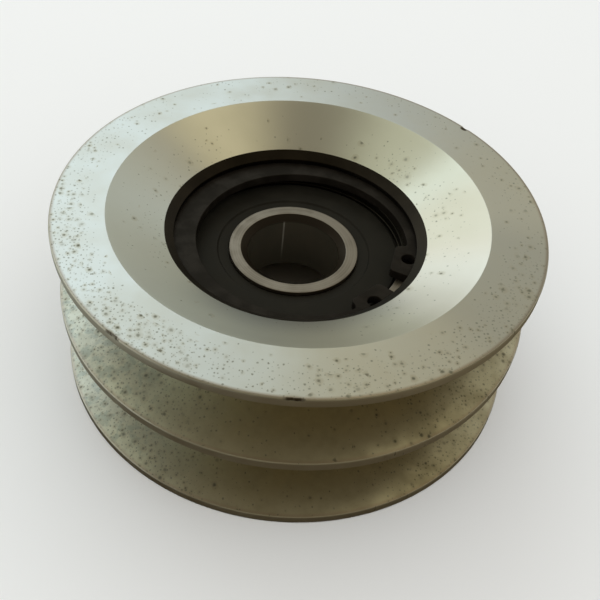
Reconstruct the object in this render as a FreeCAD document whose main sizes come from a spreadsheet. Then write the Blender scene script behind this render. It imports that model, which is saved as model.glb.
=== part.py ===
"""Two-groove V-belt idler pulley that turns on a sealed ball bearing, as a FreeCAD parametric document.

Row frame, in millimetres: +Z runs along the bearing's axis, out of the pulley's front face, and the origin
lies on that axis, half way between the two rim faces. The pulley's front is the side with the retaining ring.
"""
import FreeCAD, Part
import os
import Sketcher
from FreeCAD import Vector

# ---------------------------------------------------------------- driving dimensions

# alias, value (mm, degrees or a count), what it is
SIZES = [
    ("rim_radius", 51, "rim, outside radius"),
    ("rim_width", 40, "rim, width between its faces: two groove pitches and one land"),
    ("groove_pitch", 19, "distance between the two belt grooves"),
    ("groove_top_width", 17, "belt groove, width at the rim"),
    ("groove_angle", 34, "belt groove, angle between its flanks"),
    ("groove_depth", 14.5, "belt groove, depth below the rim"),
    ("groove_root_fillet", 1, "belt groove, radius in its two bottom corners"),
    ("edge_break", 0.3, "chamfer on the turned edges of the rim"),
    ("dish_radius", 39.75, "dished faces, radius where the cone starts"),
    ("dish_depth", 5.94, "front dish, depth where it meets the bearing seat's lead-in"),
    ("front_mouth_radius", 27.93, "front dish, radius where it meets the lead-in"),
    ("lead_in_depth", 1.5, "bearing seat, axial depth of the lead-in chamfer"),
    ("rear_mouth_radius", 25, "rear dish, radius where it meets the shoulder's bore"),
    ("shoulder_radius", 23.5, "shoulder that the bearing stands against, bore radius"),
    ("bearing_offset", 0.43, "height of the bearing's middle above the rim's middle"),
    ("bearing_width", 15, "bearing, width"),
    ("bearing_radius", 26, "bearing, outside radius, and the radius of its seat"),
    ("bearing_bore_radius", 10, "bearing, bore radius"),
    ("outer_ring_chamfer", 1.1, "outer ring, corner chamfer"),
    ("outer_ring_shoulder", 20.8, "outer ring, radius beside the raceway"),
    ("outer_ring_mouth", 23.25, "outer ring, inner radius of its end faces"),
    ("seal_seat_radius", 23.65, "outer ring, radius of the groove that holds a seal"),
    ("inner_ring_chamfer", 1.55, "inner ring, radial size of the bore chamfer"),
    ("inner_ring_chamfer_depth", 1.2, "inner ring, axial size of the bore chamfer"),
    ("inner_ring_face_radius", 14.05, "inner ring, outer radius of its end faces"),
    ("inner_ring_shoulder", 15.2, "inner ring, radius beside the raceway"),
    ("shoulder_half_width", 6, "inner ring, half width of its shoulders"),
    ("pitch_radius", 18, "circle that the ball centres lie on, radius"),
    ("ball_count", 7, "number of balls"),
    ("ball_radius", 4.7625, "ball, radius"),
    ("race_radius", 4.95, "raceway, radius of its section"),
    ("race_clearance", 0.12, "gap between a ball and the bottom of a raceway"),
    ("seal_floor", 6.15, "seals, height of their inner side above the bearing's middle"),
    ("seal_plate_thickness", 0.5, "seals, thickness of the steel disc"),
    ("seal_plate_inner", 15.9, "seals, inner radius of the steel disc"),
    ("seal_plate_outer", 22.9, "seals, outer radius of the steel disc"),
    ("seal_bead_radius", 23.6, "seals, radius of the rubber bead in the outer ring"),
    ("seal_lip_radius", 14.2, "seals, radius of the rubber lip at the inner ring"),
    ("seal_step_radius", 16.7, "seals, radius where the face steps down to the lip"),
    ("seal_recess", 0.3, "seals, depth of their face below the bearing's end face"),
    ("cage_inner_radius", 16.6, "cage, inner radius of its ribbon"),
    ("cage_outer_radius", 19.4, "cage, outer radius of its ribbon"),
    ("cage_thickness", 0.8, "cage, thickness of its sheet"),
    ("cage_clearance", 0.15, "cage, gap between a ball and its pocket"),
    ("rivet_radius", 0.6, "cage rivet, shank radius"),
    ("rivet_head_radius", 1.15, "cage rivet, head radius"),
    ("rivet_head_height", 0.35, "cage rivet, head height"),
    ("rivet_hole_clearance", 0.05, "cage rivet, gap around the shank"),
    ("shim_thickness", 1.5, "support ring, thickness"),
    ("shim_inner_radius", 23.5, "support ring, inner radius"),
    ("shim_clearance", 0.1, "support ring, gap to the bearing seat"),
    ("circlip_thickness", 2, "retaining ring, thickness"),
    ("circlip_groove_width", 2.15, "groove for the retaining ring, width"),
    ("circlip_groove_radius", 27.5, "groove for the retaining ring, bottom radius"),
    ("circlip_inner_radius", 22.7, "retaining ring, radius of its inner edge"),
    ("circlip_eccentricity", 1.8, "retaining ring, shift of its inner edge towards the gap"),
    ("circlip_gap_angle", 13, "retaining ring, angle that its gap takes"),
    ("circlip_gap_direction", -31.9, "retaining ring, direction of its gap from +X"),
    ("lug_inner_radius", 21.7, "retaining ring, inner radius of its lugs"),
    ("lug_angle", 21, "retaining ring, angle that one lug takes"),
    ("lug_hole_angle", 11.6, "retaining ring, angle from the gap's edge to a plier hole"),
    ("lug_hole_radius", 1.5, "retaining ring, radius of a plier hole"),
    ("lug_hole_pitch_radius", 24.7, "retaining ring, distance of a plier hole from the axis"),
    ("lug_fillet", 1.2, "retaining ring, radius on the inner corners of its lugs"),
]

doc = FreeCAD.newDocument("v_belt_pulley")
sheet = doc.addObject("Spreadsheet::Sheet", "Sizes")
for row, (alias, value, meaning) in enumerate(SIZES, start=1):
    sheet.set(f"A{row}", meaning)
    sheet.set(f"B{row}", str(value))
    sheet.setAlias(f"B{row}", alias)
doc.recompute()


# ---------------------------------------------------------------- helpers


def size(expression):
    """The number that an expression on the sheet gives."""
    return float(sheet.evalExpression(expression))


def origin_plane(body, role):
    return next(plane for plane in body.Origin.OriginFeatures if plane.Role == role)


def half_section_sketch(body, name):
    """A sketch on the body's XZ plane: its X is the radius and its Y the height along the axis."""
    sketch = body.newObject("Sketcher::SketchObject", name)
    sketch.AttachmentSupport = (origin_plane(body, "XZ_Plane"), [""])
    sketch.MapMode = "FlatFace"
    return sketch


def bind(sketch, constraint, expression):
    """Adds a dimension to a sketch and ties it to the sheet."""
    index = sketch.addConstraint(constraint)
    sketch.setExpression(f"Constraints[{index}]", expression)


def outline(body, name, corners):
    """A closed outline on the XZ plane, each corner a pair of expressions: its radius and its height."""
    sketch = half_section_sketch(body, name)
    points = [Vector(size(radius), size(height), 0) for radius, height in corners]
    count = len(corners)
    for index in range(count):
        sketch.addGeometry(Part.LineSegment(points[index], points[(index + 1) % count]))
    for index in range(count):
        sketch.addConstraint(Sketcher.Constraint("Coincident", index, 2, (index + 1) % count, 1))
    for index, (radius, height) in enumerate(corners):
        across = Sketcher.Constraint("DistanceX", -1, 1, index, 1, points[index].x)
        along = Sketcher.Constraint("DistanceY", -1, 1, index, 1, points[index].y)
        bind(sketch, across, radius)
        bind(sketch, along, height)
    return sketch


def turn(body, name, corners):
    """A turned blank: the outline swept all the way round the axis."""
    profile = outline(body, name + "_outline", corners)
    blank = body.newObject("PartDesign::Revolution", name)
    blank.Profile = profile
    blank.ReferenceAxis = (profile, ["V_Axis"])
    blank.Angle = 360
    doc.recompute()
    return blank


def turn_away(body, name, profile):
    """A groove turned into the body. It has to take material away."""
    before = body.Shape.Volume
    groove = body.newObject("PartDesign::Groove", name)
    groove.Profile = profile
    groove.ReferenceAxis = (profile, ["V_Axis"])
    groove.Angle = 360
    doc.recompute()
    if groove.Shape.Volume >= before:
        raise RuntimeError(f"{name} cuts nothing")
    return groove


def new_body(node, height=None):
    """A body named after its node, raised to the given height on the axis."""
    body = doc.addObject("PartDesign::Body", node)
    body.Label = node
    if height:
        body.setExpression("Placement.Base.z", height)
    return body


def cylinder(name, radius, height, floor="0", start="0", sweep="360", centre=("0", "0")):
    """A cylinder, or a sector of one, standing on the height `floor`."""
    solid = doc.addObject("Part::Cylinder", name)
    solid.setExpression("Radius", radius)
    solid.setExpression("Height", height)
    solid.setExpression("Angle", sweep)
    solid.setExpression("Placement.Base.x", centre[0])
    solid.setExpression("Placement.Base.y", centre[1])
    solid.setExpression("Placement.Base.z", floor)
    solid.setExpression("Placement.Rotation.Angle", start)
    return solid


def sphere(name, radius, centre):
    solid = doc.addObject("Part::Sphere", name)
    solid.setExpression("Radius", radius)
    for letter, place in zip("xyz", centre):
        solid.setExpression(f"Placement.Base.{letter}", place)
    return solid


def cut(name, base, tool):
    """The base without the tool. It has to take material away."""
    result = doc.addObject("Part::Cut", name)
    result.Base = base
    result.Tool = tool
    doc.recompute()
    if result.Shape.Volume >= base.Shape.Volume:
        raise RuntimeError(f"{name} cuts nothing")
    return result


def several(kind, name, shapes):
    """A Part::MultiFuse or Part::MultiCommon of the shapes."""
    result = doc.addObject(kind, name)
    result.Shapes = shapes
    doc.recompute()
    return result


nodes = []


def keep(node, feature):
    """Marks a finished sub-part, which is written to its own file."""
    feature.Label = node
    nodes.append(feature)


# ---------------------------------------------------------------- sheave

# The sheave is one steel turning: a rim with two V grooves, a shallow cone on each face and a stepped bore.
# The bearing goes in from the front and stands against the shoulder.
HALF_RIM = "Sizes.rim_width / 2"
HALF_BEARING = "Sizes.bearing_width / 2"
SHOULDER_HEIGHT = f"Sizes.bearing_offset - {HALF_BEARING}"
DISH_SLOPE = "(Sizes.dish_depth / (Sizes.dish_radius - Sizes.front_mouth_radius))"
REAR_DISH_DEPTH = f"((Sizes.dish_radius - Sizes.rear_mouth_radius) * {DISH_SLOPE})"
REAR_LEAD_IN = "(Sizes.rear_mouth_radius - Sizes.shoulder_radius)"

sheave = new_body("sheave")
turn(
    sheave,
    "sheave_blank",
    [
        ("Sizes.rim_radius - Sizes.edge_break", HALF_RIM),
        ("Sizes.dish_radius", HALF_RIM),
        ("Sizes.front_mouth_radius", f"{HALF_RIM} - Sizes.dish_depth"),
        ("Sizes.bearing_radius", f"{HALF_RIM} - Sizes.dish_depth - Sizes.lead_in_depth"),
        ("Sizes.bearing_radius", SHOULDER_HEIGHT),
        ("Sizes.shoulder_radius", SHOULDER_HEIGHT),
        ("Sizes.shoulder_radius", f"{REAR_DISH_DEPTH} + {REAR_LEAD_IN} - {HALF_RIM}"),
        ("Sizes.rear_mouth_radius", f"{REAR_DISH_DEPTH} - {HALF_RIM}"),
        ("Sizes.dish_radius", f"-{HALF_RIM}"),
        ("Sizes.rim_radius - Sizes.edge_break", f"-{HALF_RIM}"),
        ("Sizes.rim_radius", f"Sizes.edge_break - {HALF_RIM}"),
        ("Sizes.rim_radius", f"{HALF_RIM} - Sizes.edge_break"),
    ],
)

# A belt groove: 34 degrees between the flanks, and the corners at the rim chamfered.
FLANK = "tan(Sizes.groove_angle / 2)"
GROOVE_MIDDLE = "Sizes.groove_pitch / 2"
TOP_HALF = "Sizes.groove_top_width / 2"
ROOT_HALF = f"({TOP_HALF} - Sizes.groove_depth * {FLANK})"
BREAK_HALF = f"({TOP_HALF} - Sizes.edge_break * {FLANK})"
GROOVE_ROOT = "Sizes.rim_radius - Sizes.groove_depth"
belt_groove_outline = outline(
    sheave,
    "belt_groove_outline",
    [
        (GROOVE_ROOT, f"{GROOVE_MIDDLE} - {ROOT_HALF}"),
        ("Sizes.rim_radius - Sizes.edge_break", f"{GROOVE_MIDDLE} - {BREAK_HALF}"),
        ("Sizes.rim_radius", f"{GROOVE_MIDDLE} - {BREAK_HALF} - Sizes.edge_break"),
        ("Sizes.rim_radius + Sizes.edge_break", f"{GROOVE_MIDDLE} - {BREAK_HALF} - Sizes.edge_break"),
        ("Sizes.rim_radius + Sizes.edge_break", f"{GROOVE_MIDDLE} + {BREAK_HALF} + Sizes.edge_break"),
        ("Sizes.rim_radius", f"{GROOVE_MIDDLE} + {BREAK_HALF} + Sizes.edge_break"),
        ("Sizes.rim_radius - Sizes.edge_break", f"{GROOVE_MIDDLE} + {BREAK_HALF}"),
        (GROOVE_ROOT, f"{GROOVE_MIDDLE} + {ROOT_HALF}"),
    ],
)
front_groove = turn_away(sheave, "front_belt_groove", belt_groove_outline)

one_groove_volume = sheave.Shape.Volume
both_grooves = sheave.newObject("PartDesign::Mirrored", "both_belt_grooves")
both_grooves.Originals = [front_groove]
both_grooves.MirrorPlane = (origin_plane(sheave, "XY_Plane"), [""])
sheave.Tip = both_grooves
doc.recompute()
if both_grooves.Shape.Volume >= one_groove_volume:
    raise RuntimeError("the second belt groove cuts nothing")

root_corners = []
for index, edge in enumerate(both_grooves.Shape.Edges, start=1):
    if isinstance(edge.Curve, Part.Circle) and abs(edge.Curve.Radius - size(GROOVE_ROOT)) < 1e-6:
        root_corners.append(f"Edge{index}")
root_fillet = sheave.newObject("PartDesign::Fillet", "belt_groove_root_fillets")
root_fillet.Base = (both_grooves, root_corners)
root_fillet.setExpression("Radius", "Sizes.groove_root_fillet")
doc.recompute()

# The narrow groove in the bearing seat that the retaining ring springs into.
CIRCLIP_FLOOR = f"Sizes.bearing_offset + {HALF_BEARING} + Sizes.shim_thickness"
circlip_groove_outline = outline(
    sheave,
    "circlip_groove_outline",
    [
        ("Sizes.bearing_radius - Sizes.edge_break", CIRCLIP_FLOOR),
        ("Sizes.circlip_groove_radius", CIRCLIP_FLOOR),
        ("Sizes.circlip_groove_radius", f"{CIRCLIP_FLOOR} + Sizes.circlip_groove_width"),
        ("Sizes.bearing_radius - Sizes.edge_break", f"{CIRCLIP_FLOOR} + Sizes.circlip_groove_width"),
    ],
)
turn_away(sheave, "circlip_groove", circlip_groove_outline)
keep("sheave", sheave)


# ---------------------------------------------------------------- retaining ring and support ring

# An internal retaining ring, stamped from spring steel. Its inner edge is off centre, so that it is widest
# opposite the gap, and its two lugs have a hole each for the pliers. It is built with the gap towards +X.
def circlip_part(name, radius, start="0", sweep="360", centre=("0", "0")):
    return cylinder(name, radius, "Sizes.circlip_thickness", CIRCLIP_FLOOR, start, sweep, centre)


circlip_disc = circlip_part("circlip_disc", "Sizes.circlip_groove_radius")
circlip_eye = circlip_part(
    "circlip_eye", "Sizes.circlip_inner_radius", centre=("Sizes.circlip_eccentricity", "0")
)
circlip_pieces = [cut("circlip_band", circlip_disc, circlip_eye)]
plier_holes = []
for lug, side, lug_start in (
    ("left_lug", "1", "Sizes.circlip_gap_angle / 2"),
    ("right_lug", "-1", "-Sizes.circlip_gap_angle / 2 - Sizes.lug_angle"),
):
    sector = circlip_part(lug + "_sector", "Sizes.circlip_groove_radius", lug_start, "Sizes.lug_angle")
    circlip_pieces.append(cut(lug, sector, circlip_part(lug + "_eye", "Sizes.lug_inner_radius")))
    hole_direction = f"({side} * (Sizes.circlip_gap_angle / 2 + Sizes.lug_hole_angle))"
    hole_centre = (
        f"Sizes.lug_hole_pitch_radius * cos({hole_direction})",
        f"Sizes.lug_hole_pitch_radius * sin({hole_direction})",
    )
    plier_holes.append(circlip_part(lug + "_hole", "Sizes.lug_hole_radius", centre=hole_centre))
closed_circlip = several("Part::MultiFuse", "closed_circlip", circlip_pieces)
closed_circlip.Refine = True
circlip_gap = circlip_part(
    "circlip_gap", "2 * Sizes.circlip_groove_radius",
    "-Sizes.circlip_gap_angle / 2", "Sizes.circlip_gap_angle",
)
openings = several("Part::MultiFuse", "circlip_openings", [circlip_gap, *plier_holes])
sharp_circlip = cut("sharp_circlip", closed_circlip, openings)

lug_corners = []
for index, edge in enumerate(sharp_circlip.Shape.Edges, start=1):
    middle = edge.CenterOfMass
    upright = abs(edge.BoundBox.ZLength - size("Sizes.circlip_thickness")) < 1e-6
    on_inner_edge = abs(Vector(middle.x, middle.y, 0).Length - size("Sizes.lug_inner_radius")) < 0.01
    if upright and on_inner_edge and isinstance(edge.Curve, Part.Line):
        lug_corners.append((index, size("Sizes.lug_fillet"), size("Sizes.lug_fillet")))
circlip = doc.addObject("Part::Fillet", "circlip")
circlip.Base = sharp_circlip
circlip.Edges = lug_corners
circlip.setExpression("Placement.Rotation.Angle", "Sizes.circlip_gap_direction")
doc.recompute()
keep("circlip", circlip)

# A flat steel ring that gives the retaining ring a square edge to bear on.
SHIM_OUTER = "Sizes.bearing_radius - Sizes.shim_clearance"
SHIM_FLOOR = f"Sizes.bearing_offset + {HALF_BEARING}"
shim_ring = new_body("shim_ring", SHIM_FLOOR)
turn(
    shim_ring,
    "shim_ring_turning",
    [
        ("Sizes.shim_inner_radius", "Sizes.shim_thickness"),
        (SHIM_OUTER, "Sizes.shim_thickness"),
        (SHIM_OUTER, "0"),
        ("Sizes.shim_inner_radius", "0"),
    ],
)
keep("shim_ring", shim_ring)


# ---------------------------------------------------------------- bearing rings

# Each ring is built about the bearing's own middle and raised to its place. Heights are those of the front
# half, and the rear half is the same the other way up.
def both_halves(front_corners):
    """An outline's front half, and the same corners mirrored below it."""
    rear_corners = [(radius, f"-({height})") for radius, height in reversed(front_corners)]
    return front_corners + rear_corners


def raceway(body, name, centre_radius):
    """The ball track: a circle beside the ring, turned away all round."""
    track = half_section_sketch(body, name + "_circle")
    middle = Vector(size(centre_radius), 0, 0)
    track.addGeometry(Part.Circle(middle, Vector(0, 0, 1), size("Sizes.race_radius")))
    track.addConstraint(Sketcher.Constraint("PointOnObject", 0, 3, -1))
    bind(track, Sketcher.Constraint("DistanceX", -1, 1, 0, 3, middle.x), centre_radius)
    bind(track, Sketcher.Constraint("Radius", 0, size("Sizes.race_radius")), "Sizes.race_radius")
    turn_away(body, name, track)


RACE_SHIFT = "(Sizes.race_radius - Sizes.ball_radius - Sizes.race_clearance)"
outer_ring = new_body("bearing_outer_ring", "Sizes.bearing_offset")
SEAL_LEDGE = "(Sizes.seal_floor + 2 * Sizes.seal_recess)"
turn(
    outer_ring,
    "outer_ring_turning",
    both_halves(
        [
            ("Sizes.bearing_radius", f"{HALF_BEARING} - Sizes.outer_ring_chamfer"),
            ("Sizes.bearing_radius - Sizes.outer_ring_chamfer", HALF_BEARING),
            ("Sizes.outer_ring_mouth", HALF_BEARING),
            ("Sizes.outer_ring_mouth", SEAL_LEDGE),
            ("Sizes.seal_seat_radius", SEAL_LEDGE),
            ("Sizes.seal_seat_radius", "Sizes.seal_floor"),
            ("Sizes.outer_ring_shoulder", "Sizes.seal_floor"),
        ]
    ),
)
raceway(outer_ring, "outer_raceway", f"Sizes.pitch_radius - {RACE_SHIFT}")
keep("bearing_outer_ring", outer_ring)

inner_ring = new_body("bearing_inner_ring", "Sizes.bearing_offset")
turn(
    inner_ring,
    "inner_ring_turning",
    both_halves(
        [
            ("Sizes.inner_ring_shoulder", "Sizes.shoulder_half_width"),
            ("Sizes.inner_ring_face_radius", "Sizes.shoulder_half_width"),
            ("Sizes.inner_ring_face_radius", HALF_BEARING),
            ("Sizes.bearing_bore_radius + Sizes.inner_ring_chamfer", HALF_BEARING),
            ("Sizes.bearing_bore_radius", f"{HALF_BEARING} - Sizes.inner_ring_chamfer_depth"),
        ]
    ),
)
raceway(inner_ring, "inner_raceway", f"Sizes.pitch_radius + {RACE_SHIFT}")
keep("bearing_inner_ring", inner_ring)


# ---------------------------------------------------------------- balls and cage

ball_count = int(size("Sizes.ball_count"))


def on_pitch_circle(steps):
    """A place on the pitch circle, so many ball spacings round from +X, at the bearing's middle."""
    direction = f"({steps} * 360 / Sizes.ball_count)"
    across = f"Sizes.pitch_radius * cos({direction})"
    along = f"Sizes.pitch_radius * sin({direction})"
    return (across, along, "Sizes.bearing_offset")


for number in range(ball_count):
    node = f"ball_{number + 1}"
    keep(node, sphere(node, "Sizes.ball_radius", on_pitch_circle(number)))

# The cage is two pressed ribbons riveted together between the balls. Each ribbon is flat at a rivet and
# bulges over a ball.
POCKET_RADIUS = "Sizes.ball_radius + Sizes.cage_clearance"
flat_ribbon = cylinder(
    "flat_ribbon", "Sizes.cage_outer_radius", "Sizes.cage_thickness", "Sizes.bearing_offset"
)
bulges = []
pockets = []
rivet_holes = []
for number in range(ball_count):
    ball_place = on_pitch_circle(number)
    rivet_place = on_pitch_circle(number + 0.5)
    bulges.append(sphere(f"bulge_{number + 1}", f"{POCKET_RADIUS} + Sizes.cage_thickness", ball_place))
    pockets.append(sphere(f"pocket_{number + 1}", POCKET_RADIUS, ball_place))
    rivet_holes.append(
        cylinder(
            f"rivet_hole_{number + 1}",
            "Sizes.rivet_radius + Sizes.rivet_hole_clearance",
            "Sizes.cage_thickness",
            "Sizes.bearing_offset",
            centre=rivet_place[:2],
        )
    )
bulged_ribbon = several("Part::MultiFuse", "bulged_ribbon", [flat_ribbon, *bulges])
ribbon_disc = cylinder(
    "ribbon_disc", "Sizes.cage_outer_radius", "2 * Sizes.ball_radius", "Sizes.bearing_offset"
)
ribbon_eye = cylinder(
    "ribbon_eye", "Sizes.cage_inner_radius", "2 * Sizes.ball_radius", "Sizes.bearing_offset"
)
ribbon_band = cut("ribbon_band", ribbon_disc, ribbon_eye)
solid_ribbon = several("Part::MultiCommon", "solid_ribbon", [bulged_ribbon, ribbon_band])
ribbon_cuts = several("Part::MultiFuse", "ribbon_cuts", pockets + rivet_holes)
front_ribbon = cut("cage_front_half", solid_ribbon, ribbon_cuts)
keep("cage_front_half", front_ribbon)


def mirror_to_rear(node, front):
    """The rear twin of a front sub-part, mirrored in the bearing's middle plane."""
    twin = doc.addObject("Part::Mirroring", node)
    twin.Source = front
    twin.Normal = Vector(0, 0, 1)
    twin.setExpression("Base.z", "Sizes.bearing_offset")
    doc.recompute()
    keep(node, twin)


mirror_to_rear("cage_rear_half", front_ribbon)

rivets = []
for number in range(ball_count):
    rivet_centre = on_pitch_circle(number + 0.5)[:2]
    shank = cylinder(
        f"rivet_shank_{number + 1}",
        "Sizes.rivet_radius",
        "2 * Sizes.cage_thickness",
        "Sizes.bearing_offset - Sizes.cage_thickness",
        centre=rivet_centre,
    )
    heads = [
        cylinder(
            f"rivet_{end}_head_{number + 1}",
            "Sizes.rivet_head_radius",
            "Sizes.rivet_head_height",
            floor,
            centre=rivet_centre,
        )
        for end, floor in (
            ("front", "Sizes.bearing_offset + Sizes.cage_thickness"),
            ("rear", "Sizes.bearing_offset - Sizes.cage_thickness - Sizes.rivet_head_height"),
        )
    ]
    rivets.append(several("Part::MultiFuse", f"rivet_{number + 1}", [shank, *heads]))
cage_rivets = doc.addObject("Part::Compound", "cage_rivets")
cage_rivets.Links = rivets
doc.recompute()
keep("cage_rivets", cage_rivets)


# ---------------------------------------------------------------- seals

# A seal is a flat steel disc with rubber moulded round it: a face in front, a bead that snaps into the outer
# ring and a lip that ends close to the inner ring. A lower step runs round the lip.
SEAL_FACE = f"({HALF_BEARING} - Sizes.seal_recess)"
PLATE_TOP = "(Sizes.seal_floor + Sizes.seal_plate_thickness)"
front_seal_plate = new_body("front_seal_plate", "Sizes.bearing_offset")
turn(
    front_seal_plate,
    "seal_plate_pressing",
    [
        ("Sizes.seal_plate_inner", PLATE_TOP),
        ("Sizes.seal_plate_outer", PLATE_TOP),
        ("Sizes.seal_plate_outer", "Sizes.seal_floor"),
        ("Sizes.seal_plate_inner", "Sizes.seal_floor"),
    ],
)
keep("front_seal_plate", front_seal_plate)

LIP_THICKNESS = "Sizes.seal_plate_thickness / 2"
front_seal = new_body("front_seal", "Sizes.bearing_offset")
turn(
    front_seal,
    "seal_moulding",
    [
        ("Sizes.seal_plate_inner", "Sizes.seal_floor"),
        ("Sizes.seal_lip_radius", f"Sizes.seal_floor + {LIP_THICKNESS}"),
        ("Sizes.seal_lip_radius", f"Sizes.seal_floor + 2 * {LIP_THICKNESS}"),
        ("Sizes.seal_step_radius - Sizes.seal_recess", f"{PLATE_TOP} + Sizes.seal_recess / 2"),
        ("Sizes.seal_step_radius", SEAL_FACE),
        ("Sizes.seal_plate_outer - Sizes.seal_recess", SEAL_FACE),
        ("Sizes.seal_plate_outer", f"{SEAL_FACE} - Sizes.seal_recess"),
        ("Sizes.seal_bead_radius", PLATE_TOP),
        ("Sizes.seal_bead_radius", "Sizes.seal_floor"),
        ("Sizes.seal_plate_outer", "Sizes.seal_floor"),
        ("Sizes.seal_plate_outer", PLATE_TOP),
        ("Sizes.seal_plate_inner", PLATE_TOP),
    ],
)
keep("front_seal", front_seal)
mirror_to_rear("rear_seal_plate", front_seal_plate)
mirror_to_rear("rear_seal", front_seal)


# ---------------------------------------------------------------- checks and files

doc.recompute()
for item in doc.Objects:
    if "Invalid" in item.State or "Error" in item.State:
        raise RuntimeError(f"{item.Name} failed: {item.State}")

os.makedirs("parts", exist_ok=True)
for node in nodes:
    if node.Shape.isNull() or not node.Shape.isValid():
        raise RuntimeError(f"{node.Label} has no valid shape")
    node.Shape.exportStep(f"parts/{node.Label}.step")
    print(f"{node.Label}: {len(node.Shape.Solids)} solid, {node.Shape.Volume:.1f} mm3")
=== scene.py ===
import math

import bmesh
import bpy
from mathutils import Matrix, Vector


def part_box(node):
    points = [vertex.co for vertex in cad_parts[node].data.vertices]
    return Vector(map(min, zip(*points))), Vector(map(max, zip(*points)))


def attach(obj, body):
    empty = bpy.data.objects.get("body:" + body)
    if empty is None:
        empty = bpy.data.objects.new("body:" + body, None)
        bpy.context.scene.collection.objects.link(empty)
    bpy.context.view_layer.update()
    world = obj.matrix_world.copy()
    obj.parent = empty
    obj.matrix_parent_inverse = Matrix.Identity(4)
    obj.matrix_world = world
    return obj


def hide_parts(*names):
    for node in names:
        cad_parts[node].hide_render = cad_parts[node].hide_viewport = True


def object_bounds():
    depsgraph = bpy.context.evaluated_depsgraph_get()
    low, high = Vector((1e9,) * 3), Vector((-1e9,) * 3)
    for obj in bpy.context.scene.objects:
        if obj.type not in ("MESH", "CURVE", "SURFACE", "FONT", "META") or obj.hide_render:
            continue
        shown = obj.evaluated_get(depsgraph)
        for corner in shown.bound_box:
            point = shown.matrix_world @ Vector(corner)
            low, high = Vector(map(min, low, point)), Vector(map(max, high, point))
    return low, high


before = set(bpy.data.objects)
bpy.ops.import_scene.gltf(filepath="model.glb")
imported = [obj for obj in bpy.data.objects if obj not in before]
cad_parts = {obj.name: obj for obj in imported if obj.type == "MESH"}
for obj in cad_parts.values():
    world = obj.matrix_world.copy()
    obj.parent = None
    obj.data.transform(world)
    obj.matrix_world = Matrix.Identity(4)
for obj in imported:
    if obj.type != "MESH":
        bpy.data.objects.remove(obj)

MM = 0.001
cad_low, cad_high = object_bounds()


# ---------------------------------------------------------------- bearing inner ring
# The inner ring is hardened steel, turned, then ground on its faces and in its bore. It is clamped on a
# stationary stud, and everything else turns round it. The ground face is satin grey with fine round lines.

ring_low, ring_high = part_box("bearing_inner_ring")
bearing_middle = (ring_low.z + ring_high.z) / 2 / MM
bearing_half_width = (ring_high.z - ring_low.z) / 2 / MM
BORE_RADIUS = 10.0
INNER_RING_CHAMFER = (1.55, 1.2)
INNER_RING_FACE_RADIUS = 14.05
INNER_RING_SHOULDER = (15.2, 6.0)
RACE_CENTRE_SHIFT = 0.0675
RACE_RADIUS = 4.95
PITCH_RADIUS = 18.0
ROUNDING_STEPS = 4
RING_SEGMENTS = 256


def rounded_outline(corners):
    """A closed outline of (radius, height) points in mm, with an arc at each corner that has a rounding."""
    outline = []
    for index, (radius, height, rounding) in enumerate(corners):
        corner = Vector((radius, height))
        if rounding == 0:
            outline.append(corner)
            continue
        before = (Vector(corners[index - 1][:2]) - corner).normalized()
        after = (Vector(corners[(index + 1) % len(corners)][:2]) - corner).normalized()
        half_angle = before.angle(after) / 2
        reach = rounding / math.tan(half_angle)
        middle = corner + (before + after).normalized() * (rounding / math.sin(half_angle))
        start = corner + before * reach - middle
        sweep = start.angle_signed(corner + after * reach - middle)
        for step in range(ROUNDING_STEPS + 1):
            turned = start.copy()
            turned.rotate(Matrix.Rotation(-sweep * step / ROUNDING_STEPS, 2))
            outline.append(middle + turned)
    return outline


def smooth_faces(piece):
    """Smooth shading in which the large flat faces keep their own normals up to their rounded edges."""
    piece.data.shade_smooth()
    weighted = piece.modifiers.new("face_weighted_normals", "WEIGHTED_NORMAL")
    weighted.weight = 100


def turned_ring(name, corners, segments, middle=0.0):
    """A ring turned from a closed outline of (radius, height, rounding) corners in mm."""
    outline = rounded_outline(corners)
    mesh = bmesh.new()
    rings = []
    for step in range(segments):
        angle = math.tau * step / segments
        across, along = math.cos(angle) * MM, math.sin(angle) * MM
        rings.append([mesh.verts.new((p.x * across, p.x * along, (p.y + middle) * MM)) for p in outline])
    count = len(outline)
    for step in range(segments):
        here, there = rings[step], rings[(step + 1) % segments]
        for index in range(count):
            after = (index + 1) % count
            mesh.faces.new((here[index], there[index], there[after], here[after]))
    bmesh.ops.recalc_face_normals(mesh, faces=mesh.faces)
    data = bpy.data.meshes.new(name)
    mesh.to_mesh(data)
    mesh.free()
    piece = bpy.data.objects.new(name, data)
    bpy.context.scene.collection.objects.link(piece)
    smooth_faces(piece)
    return piece


def raceway_arc(centre_radius, side, shoulder_radius, steps=10):
    """The ball track's points from its rear edge to its front edge; side is 1 for an inner ring's track."""
    edge = math.asin((centre_radius - shoulder_radius) * side / RACE_RADIUS)
    limit = math.pi / 2 - edge
    points = []
    for step in range(steps + 1):
        swing = limit * (2 * step / steps - 1)
        radius = centre_radius - side * RACE_RADIUS * math.cos(swing)
        points.append((radius, RACE_RADIUS * math.sin(swing), 0))
    return points


def new_material(name):
    """A material with its Principled shader, and its node tree to add to."""
    material = bpy.data.materials.new(name)
    material.use_nodes = True
    tree = material.node_tree
    return material, tree, tree.nodes["Principled BSDF"]


def add_node(tree, kind, settings=None, inputs=None):
    """One node. Settings are its own properties; inputs are values, or output sockets to link from."""
    node = tree.nodes.new(kind)
    for key, value in (settings or {}).items():
        setattr(node, key, value)
    for key, value in (inputs or {}).items():
        if isinstance(value, bpy.types.NodeSocket):
            tree.links.new(value, node.inputs[key])
        else:
            node.inputs[key].default_value = value
    return node


def math_node(tree, operation, *values):
    """The result of one arithmetic step."""
    inputs = dict(enumerate(values))
    return add_node(tree, "ShaderNodeMath", {"operation": operation}, inputs).outputs[0]


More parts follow.
